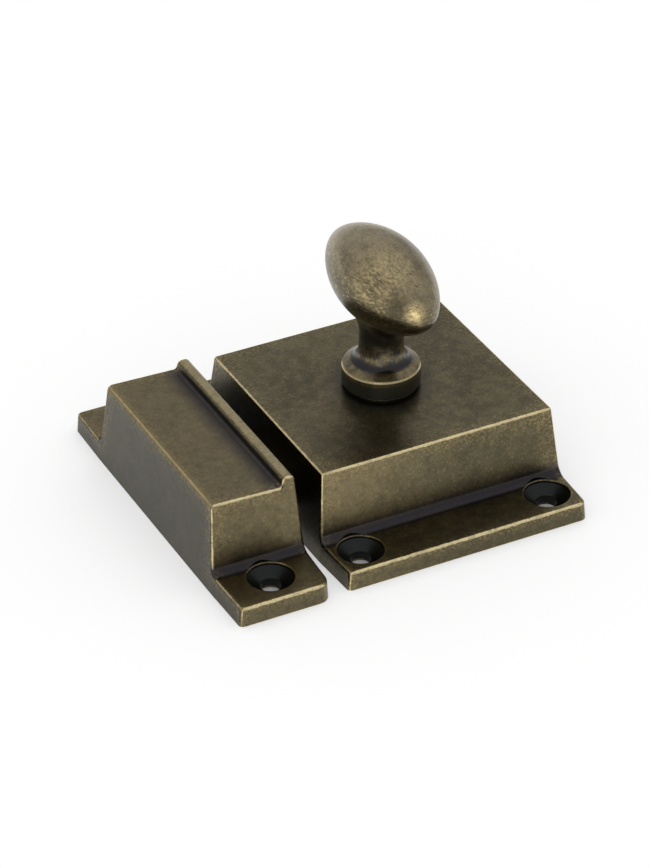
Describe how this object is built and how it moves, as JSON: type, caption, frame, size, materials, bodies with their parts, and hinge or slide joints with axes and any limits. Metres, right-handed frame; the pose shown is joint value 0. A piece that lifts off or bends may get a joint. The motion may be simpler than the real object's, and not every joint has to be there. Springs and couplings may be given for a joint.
{
  "type": "cupboard catch latch",
  "caption": "Surface-mounted cupboard latch in aged brass: a drafted box case with an egg-shaped turn knob and a sprung, bevelled bolt, and a separate flanged strike with a raised ridge.",
  "frame": {"origin": "on the knob's axis, at the centre of the case's four screw holes, on the mounting plane", "axes": "+X from the strike to the case, +Y along the plates, +Z out of the door along the knob's axis"},
  "size_m": [0.0645, 0.0636, 0.043],
  "materials": {
    "aged_brass_case": "dark aged satin brass, bright on worn edges",
    "aged_brass_strike": "dark aged satin brass, bright on worn edges",
    "aged_brass_knob": "aged brass, rubbed by hands",
    "worn_brass_bolt": "brass, rubbed along its slide",
    "plain_steel": "plain steel, dulled",
    "spring_steel": "drawn spring wire",
    "brass_sheet": "rolled brass sheet, tarnished"
  },
  "bodies": {
    "latch_case": {"case": "aged_brass_case", "strike": "aged_brass_strike", "back_plate": "brass_sheet", "back_plate_screws": "plain_steel", "bolt_spring": "spring_steel"},
    "knob": {"knob": "aged_brass_knob", "crank_arm": "plain_steel", "crank_pin": "plain_steel", "spindle_washer": "plain_steel", "spindle_screw": "plain_steel"},
    "bolt": {"bolt": "worn_brass_bolt"}
  },
  "joints": [
    {"name": "knob_turn", "type": "hinge", "parent": "latch_case", "child": "knob", "pos_m": [0, 0, 0], "axis": [0, 0, -1], "range_deg": [0, 70]},
    {"name": "bolt_slide", "type": "slide", "parent": "latch_case", "child": "bolt", "axis": [1, 0, 0], "range_m": [0, 0.00803], "stiffness_N_per_m": 300, "springref_m": -0.004, "deforming": ["bolt_spring"]}
  ],
  "couplings": [
    {"joint": "knob_turn", "follows": "bolt_slide", "rad_per_m": 152.14}
  ]
}
